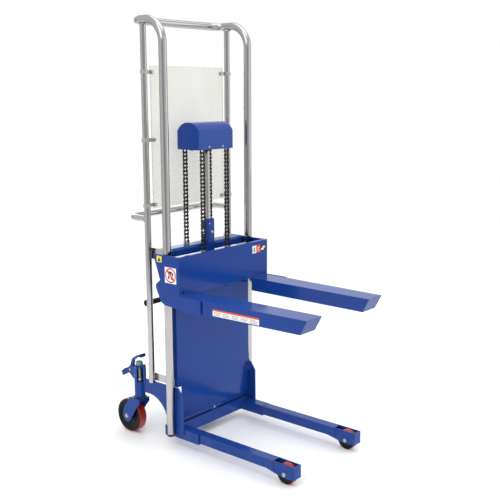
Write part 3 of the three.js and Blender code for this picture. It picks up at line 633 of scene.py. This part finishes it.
def caster_wheel(word):
    node = f"caster_wheel_{word}"
    centre = middle(node)
    tread = mirrored([(71, 19.2), (73.4, 19), (75, 15.5)], 3.0, 6)
    bm = bmesh.new()
    lathe(bm, tread, centre, (1, 0, 0), 80)
    hub = mirrored([(7, 24), (15, 24), (17.5, 22), (19, 15), (26, 12.5), (48, 12.5), (56, 17), (60, 20.8),
                    (70, 21.4), (72.8, 19.4)], 1.6, 3)
    lathe(bm, hub, centre, (1, 0, 0), 64, 1)
    for way in (-1, 1):
        for k in range(6):
            turn = 2 * math.pi * (k + 0.5) / 6
            seat = centre + Vector((way * 12.4 * MM, 36 * MM * math.cos(turn), 36 * MM * math.sin(turn)))
            stud = rounded([(0, 0), (5.4, 0), (5.4, 1.4), (3.6, 2.2), (0, 1.2)], 0.5, 2)
            lathe(bm, stud, seat, (way, 0, 0), 20, 1)
        seal = rounded([(7.2, 23.6), (13, 23.6), (13, 24.6), (9.5, 25.2), (7.2, 25.2)], 0.3, 2)
        lathe(bm, seal, centre, (way, 0, 0), 32, 2)
    finished(f"{node}_tread", bm, [RED, HUB, ZINC], BODY_OF[node], node)


def brake(word, side):
    refined(f"brake_pedal_{word}", BLUE, 1.4 * MM, 3)
    pedal = BODY_OF[f"brake_pedal_{word}"]
    middle_x = side * CASTER_X
    bm = bmesh.new()
    for step in range(5):
        y, z = 188 + step * 6.5, 369.1 - step * 2.5
        slab(bm, at(middle_x - 13, y - 1, z + 0.8), at(middle_x + 13, y + 1, z + 2.4))
    slab(bm, at(middle_x - 15.8, 184.6, 357), at(middle_x + 15.8, 188.4, 370))
    finished(f"pedal_grips_{word}", bm, BLUE, pedal, bevel=0.6 * MM)
    bm = bmesh.new()
    for way in (-1, 1):
        hex_bolt(bm, at(middle_x + way * 14.2, PEDAL_Y, PEDAL_Z), (way, 0, 0), 8 * MM, 3.4 * MM, 6 * MM)
    finished(f"pedal_pivot_{word}", bm, ZINC, "mast")

    node = f"brake_plunger_{word}"
    body = BODY_OF[node]
    x, y = middle_x, SWIVEL_Y
    bm = bmesh.new()
    profile = rounded([(0, 230), (7.6, 230), (8, 246), (13.6, 246), (13.6, 259), (8, 260), (8, 317),
                       (14.6, 318), (15, 320), (15, 330), (12, 334), (0, 335)], 1.0, 3)
    lathe(bm, profile, at(x, y, 0), (0, 0, 1), 36)
    finished(f"{node}_pin", bm, ZINC, body, node)
    bm = bmesh.new()
    knob = rounded([(8.2, 315), (14.8, 316.2), (16.2, 320), (16.2, 328), (12.8, 334.2), (0, 336)], 2.4, 5)
    lathe(bm, knob, at(x, y, 0), (0, 0, 1), 36)
    finished(f"plunger_knob_{word}", bm, KNOB, body)
    bm = bmesh.new()
    turns, per_turn = 6, 18
    coil_r, coil_low, coil_height = 11.3, 262, 44
    coil = []
    for k in range(turns * per_turn + 1):
        turn = 2 * math.pi * k / per_turn
        height = coil_low + coil_height * k / (turns * per_turn)
        coil.append(at(x + coil_r * math.cos(turn), y + coil_r * math.sin(turn), height))
    sweep(bm, coil, 1.5 * MM, 8)
    finished(f"brake_spring_{word}", bm, ZINC, body)


# ---------------------------------------------------------------- shield
def shield():
    def edge_faces(bm):
        for face in bm.faces:
            face.material_index = 0 if abs(face.normal.y) > 0.9 else 1
    refined("shield_panel", [SHEET, SHEET_EDGE], 0.5 * MM, 2, extra=edge_faces)
    for node in (n for n in frame["nodes"] if n.startswith("shield_clamp")):
        side = 1 if "right" in node else -1
        z = middle(node).z / MM
        refined(node, ZINC, 0.6 * MM, smooth_angle=32)
        bm = bmesh.new()
        washer = rounded([(0, 0), (8.4, 0), (8.4, 1.2), (0, 1.2)], 0.3, 2)
        lathe(bm, washer, at(side * CLAMP_X, 112.8, z), (0, -1, 0), 28)
        dome = rounded([(0, 0), (6.4, 0), (6.2, 3), (4.2, 5), (0, 5.6)], 1.4, 4)
        lathe(bm, dome, at(side * CLAMP_X, 111.6, z), (0, -1, 0), 28)
        finished(f"{node}_bolt", bm, PIN, "mast")


# ---------------------------------------------------------------- chains
PITCH = 15.875  # millimetres between pins
LINK_HALF = 5.9  # the radius of a link's round ends


def chain_point(s, low):
    """A point s millimetres along the chain from low on the front run, over the sheave and down behind."""
    front = SHEAVE_Z - low
    over = math.pi * SHEAVE_R
    if s < front:
        return SHEAVE_Y - SHEAVE_R, low + s
    if s < front + over:
        turn = (s - front) / SHEAVE_R
        return SHEAVE_Y - SHEAVE_R * math.cos(turn), SHEAVE_Z + SHEAVE_R * math.sin(turn)
    return SHEAVE_Y + SHEAVE_R, SHEAVE_Z - (s - front - over)


def link_outline():
    """Two round ends joined by a waist, as [along, across] points in metres round the link's middle."""
    half, radius, waist, steps = PITCH / 2, LINK_HALF, 3.1, 6
    points = []
    for end in (1, -1):
        for k in range(steps + 1):
            turn = math.radians(-105 + 210 * k / steps)
            points.append((end * (half + radius * math.cos(turn)), end * radius * math.sin(turn)))
        points.append((0, end * waist))
    return [(u * MM, v * MM) for u, v in points]


def chain_link(bm, x, a, b, outer):
    """One link between pins at a and b, given as [y, z] in millimetres. Inner links carry the rollers."""
    pin_a, pin_b = at(x, *a), at(x, *b)
    centre, along = (pin_a + pin_b) / 2, (pin_b - pin_a).normalized()
    outline = link_outline()
    inner, thick = 9.2 if outer else 7.8, 1.2
    for way in (-1, 1):
        seat = centre + Vector((way * inner * MM, 0, 0))
        prism(bm, outline if way > 0 else outline[::-1], seat, (way, 0, 0), thick * MM,
              along.cross(Vector((way, 0, 0))))
    for pin in (pin_a, pin_b):
        if outer:
            pin_shape = rounded([(0, -11), (2.2, -11), (2.5, -10.4), (2.5, 10.4), (2.2, 11), (0, 11)], 0.3, 1)
            lathe(bm, pin_shape, pin, (1, 0, 0), 12, 1)
        else:
            roller = rounded([(2.7, -7.6), (4.3, -7.6), (4.3, 7.6), (2.7, 7.6)], 0.4, 1)
            lathe(bm, roller, pin, (1, 0, 0), 16, 2)


def chains():
    front_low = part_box("front_chain_left")[0].z / MM + 8
    rear_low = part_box("rear_chain_left")[0].z / MM + 8
    whole = (SHEAVE_Z - front_low) + math.pi * SHEAVE_R + (SHEAVE_Z - rear_low)
    count = int(whole / PITCH)
    first = front_low + (whole - count * PITCH) / 2
    for word, side in SIDES.items():
        x = side * SHEAVE_X
        runs = {"front": bmesh.new(), "wrap": bmesh.new(), "rear": bmesh.new()}
        for k in range(count):
            a, b = chain_point(k * PITCH, first), chain_point((k + 1) * PITCH, first)
            high = max(a[1], b[1]) > SHEAVE_Z + 0.5
            run = "wrap" if high else ("front" if a[0] < SHEAVE_Y else "rear")
            chain_link(runs[run], x, a, b, k % 2 == 0)
        steel = [CHAIN, OILED_PIN, CHAIN]
        front = finished(f"front_chain_{word}_links", runs["front"], steel, None, f"front_chain_{word}")
        finished(f"chain_wrap_{word}_links", runs["wrap"], steel, "lifting_head", f"chain_wrap_{word}")
        rear = finished(f"rear_chain_{word}_links", runs["rear"], steel, None, f"rear_chain_{word}")
        front_y, rear_y = SHEAVE_Y - SHEAVE_R, SHEAVE_Y + SHEAVE_R
        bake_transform(front)
        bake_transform(rear)
        for name, body, y, z in (("front", "carriage", front_y, 820), ("rear", "mast", rear_y, 850)):
            bm = bmesh.new()
            for cheek in (-1, 1):
                slab(bm, at(x + cheek * 12.4 - 1, y - 5, z + 0.4), at(x + cheek * 12.4 + 1, y + 5, z + 15))
            lathe(bm, rounded([(0, -14), (3.6, -14), (3.6, 14), (0, 14)], 0.5, 2),
                  at(x, y, z + 9), (1, 0, 0), 20)
            finished(f"{name}_chain_clevis_{word}", bm, ZINC, body, bevel=0.6 * MM)


# ---------------------------------------------------------------- lifting head
def lifting_head():
    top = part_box("piston_rod")[1].z / MM
    centre = middle("piston_rod")
    bm = bmesh.new()
    profile = rounded([(0, 500), (13.6, 500), (13.6, 520), (11, 520), (11, top), (0, top)], 0.6, 2)
    lathe(bm, profile, Vector((centre.x, centre.y, 0)), (0, 0, 1), 36)
    finished("piston_rod_bar", bm, CHROME, "lifting_head", "piston_rod")
    refined("head_yoke", DARK, 1.0 * MM)
    for word in SIDES:
        node = f"sheave_{word}"
        centre = middle(node)
        bm = bmesh.new()
        profile = mirrored([(10.4, 12), (20, 12), (22, 9), (36, 9), (39, 12.6), (46.8, 12.6), (47.4, 12.2),
                            (47.2, 11.6), (44.2, 11.3)], 0.8, 2)
        lathe(bm, profile, centre, (1, 0, 0), 56)
        finished(f"{node}_wheel", bm, DARK, BODY_OF[node], node)
    refined("chain_hood", BLUE, 1.6 * MM, 3, smooth_angle=25)
    bm = bmesh.new()
    for x in (-42, 42):
        screw = rounded([(0, 0), (5, 0), (5, 0.8), (3.6, 2.4), (0, 2.9)], 0.5, 3)
        lathe(bm, screw, at(x, -45, 1268), (0, -1, 0), 24)
        # painted shade: near-black slabs for the cross slots in the screw heads
        slab(bm, at(x - 2.8, -47.95, 1267.6), at(x + 2.8, -47.3, 1268.4), 1)
        slab(bm, at(x - 0.4, -47.95, 1265.2), at(x + 0.4, -47.3, 1270.8), 1)
    finished("hood_screws", bm, [ZINC, HOLLOW_SHADE], "lifting_head")


# ---------------------------------------------------------------- carriage
def carriage():
    refined("carriage_front_plate", BLUE, 1.1 * MM, 3)
    bm = bmesh.new()
    bead(bm, at(-278, -90.5, 684), at(-278, -90.5, 838), 2.0 * MM)
    bead(bm, at(278, -90.5, 684), at(278, -90.5, 838), 2.0 * MM)
    for side in SIDES.values():
        bead(bm, at(side * 173, -93, 681), at(side * 276, -93, 681), 2.4 * MM)
        bead(bm, at(side * 280, -205.5, 622), at(side * 280, -205.5, 678), 2.2 * MM)
        bead(bm, at(side * 278.4, -200, 680.4), at(side * 278.4, -96, 680.4), 1.5 * MM)
    finished("carriage_welds", bm, BLUE, "carriage", smooth_angle=80)
    # painted shade: thin near-black discs where the plate's holes are
    bm = bmesh.new()
    for x in (-259, 259):
        lathe(bm, rounded([(0, 0), (4.5, 0), (4.1, 0.5), (3.6, -0.1), (0, -0.4)], 0.2, 2),
              at(x, PLATE_Y, 691), (0, -1, 0), 24)
    finished("plate_hole_shade", bm, HOLLOW_SHADE, "carriage")
    for word in SIDES:
        refined(f"carriage_side_{word}", BLUE, 1.1 * MM, 3)
        refined(f"fork_{word}", BLUE, 1.4 * MM, 3)
        for level in ("upper", "lower"):
            node = f"{level}_mast_roller_{word}"
            bm = bmesh.new()
            profile = mirrored([(6.3, 13), (9, 13), (10, 11.6), (14, 11.6), (15, 13), (16.4, 13),
                                (17.5, 11.5)], 0.6, 2)
            lathe(bm, profile, middle(node), (1, 0, 0), 40)
            finished(f"{node}_bearing", bm, PIN, BODY_OF[node], node)
    labels()


def patch(bm, corner, right, up, width, height, material, lift):
    """A flat label, lying lift millimetres proud of the face it is on."""
    right, up = Vector(right), Vector(up)
    out = right.cross(up).normalized() * lift * MM
    base = corner + out
    verts = [bm.verts.new(base + right * u * MM + up * v * MM)
             for u, v in ((0, 0), (width, 0), (width, height), (0, height))]
    bm.faces.new(verts).material_index = material


def labels():
    """Plain printed labels: coloured blocks, a ring with a bar, and ruled grey lines."""
    inks = [INK[name] for name in ("white", "red", "orange", "yellow", "black", "grey")]
    white, red, orange, yellow, black, grey = range(6)
    bm = bmesh.new()
    # near side plate: a yellow block with a dark triangle, and a white block with a red ring and bar
    right, up = (0, -1, 0), (0, 0, 1)
    x = -SIDE_X - 0.2
    patch(bm, at(x, 36, 808), right, up, 29, 26, yellow, 0.1)
    triangle = [at(x - 0.35, 31, 812), at(x - 0.35, 12, 812), at(x - 0.35, 21.5, 829)]
    bm.faces.new([bm.verts.new(p) for p in triangle]).material_index = black
    patch(bm, at(x, -10, 727), right, up, 65, 66, white, 0.1)
    ring_y, ring_z, sides = -42.5, 760, 48
    rim = [[bm.verts.new(at(x - 0.3, ring_y + u, ring_z + v)) for u, v in loop]
           for loop in (circle(31, sides), circle(25.4, sides))]
    for k in range(sides):
        n = (k + 1) % sides
        bm.faces.new((rim[0][k], rim[1][k], rim[1][n], rim[0][n])).material_index = red
    bar = [(-21, 16), (-16, 21), (21, -16), (16, -21)]
    bm.faces.new([bm.verts.new(at(x - 0.35, ring_y - u, ring_z + v)) for u, v in bar]).material_index = red
    for u, v, w, h in ((12, 2, 9, 15), (3, 6, 11, 11), (-3, -17, 13, 11), (14, -15, 9, 13), (-8, -1, 8, 12)):
        patch(bm, at(x, ring_y + u, ring_z + v), right, up, w, h, black, 0.2)
    # front plate, far top corner: a white, an orange and a black block
    right, up = (1, 0, 0), (0, 0, 1)
    y = PLATE_Y - 0.2
    patch(bm, at(178, y, 788), right, up, 94, 34, white, 0.1)
    patch(bm, at(187, y, 794), right, up, 9, 18, black, 0.25)
    patch(bm, at(189.5, y, 801), right, up, 4, 5, white, 0.35)
    patch(bm, at(205, y, 788), right, up, 28, 34, orange, 0.25)
    patch(bm, at(213, y, 797), right, up, 11, 3, white, 0.35)
    patch(bm, at(216, y, 805), right, up, 7, 7, white, 0.35)
    patch(bm, at(233, y, 788), right, up, 39, 34, black, 0.25)
    patch(bm, at(238, y, 796), right, up, 18, 9, white, 0.35)
    patch(bm, at(249, y, 805), right, up, 16, 8, white, 0.45)
    # near fork: a long strip ruled with grey lines under an orange band
    toe, heel = at(-256, -711, 0), at(-277.7, -92.3, 0)
    along = (toe - heel).normalized()
    start = heel + along * 172 * MM + Vector((0, 0, 627 * MM))
    patch(bm, start, along, up, 230, 28, white, 0.35)
    patch(bm, start + Vector((0, 0, 21 * MM)), along, up, 230, 7, orange, 0.5)
    for row in range(3):
        for column in range(5):
            foot = start + along * (6 + column * 45) * MM + Vector((0, 0, (3.5 + row * 5.6) * MM))
            patch(bm, foot, along, up, 30 + 4 * ((row + column) % 3), 1.8, grey, 0.5)
    finished("carriage_labels", bm, inks, "carriage", smooth_angle=1)


# ---------------------------------------------------------------- pump
def pump():
    refined("pump_body", DARK, 1.2 * MM, 3)
    bm = bmesh.new()
    hex_bolt(bm, at(-24, 96, 180), (0, 0, 1), 14 * MM, 8 * MM, 10 * MM)
    hex_bolt(bm, at(26, 96, 180), (0, 0, 1), 10 * MM, 6 * MM, 8 * MM)
    for way in (-1, 1):
        hex_bolt(bm, at(way * 24.2, 118, 262), (way, 0, 0), 13 * MM, 5 * MM, 9 * MM)
    gland = rounded([(9.2, 222), (14.6, 222), (14.6, 226), (9.2, 226.6)], 0.8, 2)
    lathe(bm, gland, at(0, 150, 0), (0, 0, 1), 32)
    finished("pump_fittings", bm, ZINC, "mast")
    refined("pump_lever", DARK, 1.0 * MM, smooth_angle=40)
    refined("release_lever", DARK, 1.2 * MM, 3)
    low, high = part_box("pump_ram")
    centre = middle("pump_ram")
    bm = bmesh.new()
    foot, head = low.z / MM, high.z / MM
    profile = rounded([(0, foot), (8, foot), (8, head - 2), (6, head), (0, head)], 1.5, 3)
    lathe(bm, profile, Vector((centre.x, centre.y, 0)), (0, 0, 1), 28)
    finished("pump_ram_pin", bm, ZINC, BODY_OF["pump_ram"], "pump_ram")
    low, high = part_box("pump_grip")
    centre, half = middle("pump_grip"), (high.x - low.x) / 2 / MM
    bm = bmesh.new()
    profile = [(0, -half), (9.5, -half), (12, -half + 3)]
    for k in range(14):
        start = -half + 10 + k * 8
        profile += [(12, start), (11.2, start + 1), (11.2, start + 3), (12, start + 4)]
    profile += [(12, -20), (11.4, -18), (11.4, 18), (12, 20)]
    for k in range(14):
        start = half - 10 - (13 - k) * 8 - 4
        profile += [(12, start), (11.2, start + 1), (11.2, start + 3), (12, start + 4)]
    profile += [(12, half - 3), (9.5, half), (0, half)]
    lathe(bm, rounded(profile, 0.5, 1), centre, (1, 0, 0), 28)
    for way in (-1, 1):
        knob = rounded([(11.6, half - 24), (14.6, half - 22), (15.2, half - 6), (13.4, half + 1),
                        (0, half + 2)], 2, 4)
        lathe(bm, knob, centre, (way, 0, 0), 32)
    finished("pump_grip_rubber", bm, RUBBER, BODY_OF["pump_grip"], "pump_grip")


# ---------------------------------------------------------------- studio
def studio():
    scene = bpy.context.scene
    scene.view_settings.view_transform = "Standard"
    floor = bpy.data.objects.new("floor", bpy.data.meshes.new("floor"))
    bm = bmesh.new()
    bmesh.ops.create_grid(bm, x_segments=1, y_segments=1, size=7)
    bm.to_mesh(floor.data)
    bm.free()
    f = Finish("studio_floor", IOR=1.2)
    f.set("Base Color", f.mix(f.range(f.noise(3, 3), 0.3, 0.7), srgb(248, 248, 248), srgb(252, 252, 252)))
    f.set("Roughness", f.range(f.noise(40, 3), 0.3, 0.7, 0.8, 0.9))
    reach = f.node("ShaderNodeVectorMath", {0: f.place}, operation="LENGTH").outputs["Value"]
    f.set("Alpha", f.range(reach, 2.2, 4.2, 1.0, 0.0))
    floor.data.materials.append(f.material)
    floor.location.z = -0.0005
    scene.collection.objects.link(floor)

    world = bpy.data.worlds.new("studio")
    scene.world = world
    world.use_nodes = True
    nodes, links = world.node_tree.nodes, world.node_tree.links
    sky = nodes["Background"]
    direction = nodes.new("ShaderNodeTexCoord").outputs["Generated"]
    level = None
    dim_patches = (((-0.74, -0.65, -0.17), 0.8, 0.98, 0.5), ((-0.2, 0.96, -0.17), 0.9, 0.99, 0.68),
                   ((0.92, -0.34, -0.17), 0.9, 0.99, 0.68))
    for aim, start, end, darkest in dim_patches:
        facing = nodes.new("ShaderNodeVectorMath")
        facing.operation = "DOT_PRODUCT"
        links.new(direction, facing.inputs[0])
        facing.inputs[1].default_value = aim
        shade = nodes.new("ShaderNodeMapRange")
        links.new(facing.outputs["Value"], shade.inputs["Value"])
        for socket, value in (("From Min", start), ("From Max", end), ("To Min", 1.0), ("To Max", darkest)):
            shade.inputs[socket].default_value = value
        if level:
            both = nodes.new("ShaderNodeMath")
            both.operation = "MULTIPLY"
            links.new(level, both.inputs[0])
            links.new(shade.outputs[0], both.inputs[1])
        level = both.outputs[0] if level else shade.outputs[0]
    links.new(level, sky.inputs["Color"])
    sky.inputs["Strength"].default_value = 1.0

    def lamp(name, place, size, power, target=(0, 0, 0.8)):
        light = bpy.data.lights.new(name, "AREA")
        light.shape, light.size, light.energy = "SQUARE", size, power
        made = bpy.data.objects.new(name, light)
        made.location = place
        made.rotation_euler = (Vector(target) - Vector(place)).to_track_quat("-Z", "Y").to_euler()
        scene.collection.objects.link(made)
    lamp("key", (-3.0, -1.2, 3.6), 2.6, 40)
    lamp("overhead", (0.4, -0.4, 4.4), 3.6, 60)
    lamp("fill", (2.6, -3.0, 2.0), 2.4, 15)
    lamp("rear", (1.6, 3.2, 2.6), 2.4, 20)


def camera():
    """Stands in front and to the left, a little above the load's height."""
    turn, tilt, roll = math.radians(-49.859), math.radians(10.64), math.radians(-0.2118)
    data = bpy.data.cameras.new("camera")
    sensor, focal = 36, 1.65546  # millimetres, and the focal length as a share of the sensor
    data.sensor_width, data.lens = sensor, sensor * focal
    made = bpy.data.objects.new("camera", data)
    bpy.context.scene.collection.objects.link(made)
    ahead = Vector((-math.sin(turn) * math.cos(tilt), math.cos(turn) * math.cos(tilt), -math.sin(tilt)))
    level = Vector((math.cos(turn), math.sin(turn), 0))
    up = level.cross(ahead)
    right, up = level * math.cos(roll) + up * math.sin(roll), up * math.cos(roll) - level * math.sin(roll)
    pose = Matrix((right, up, -ahead)).transposed().to_4x4()
    pose.translation = at(-2586.4, -2409.3, 1482.5)
    made.matrix_world = pose
    data.clip_start, data.clip_end = 0.1, 60
    bpy.context.scene.camera = made


camera()
studio()
mast_tubes()
rear_uprights()
push_handle()
crossmember()
panel_and_beam()
legs()
casters()
shield()
chains()
lifting_head()
carriage()
pump()

bpy.context.view_layer.update()
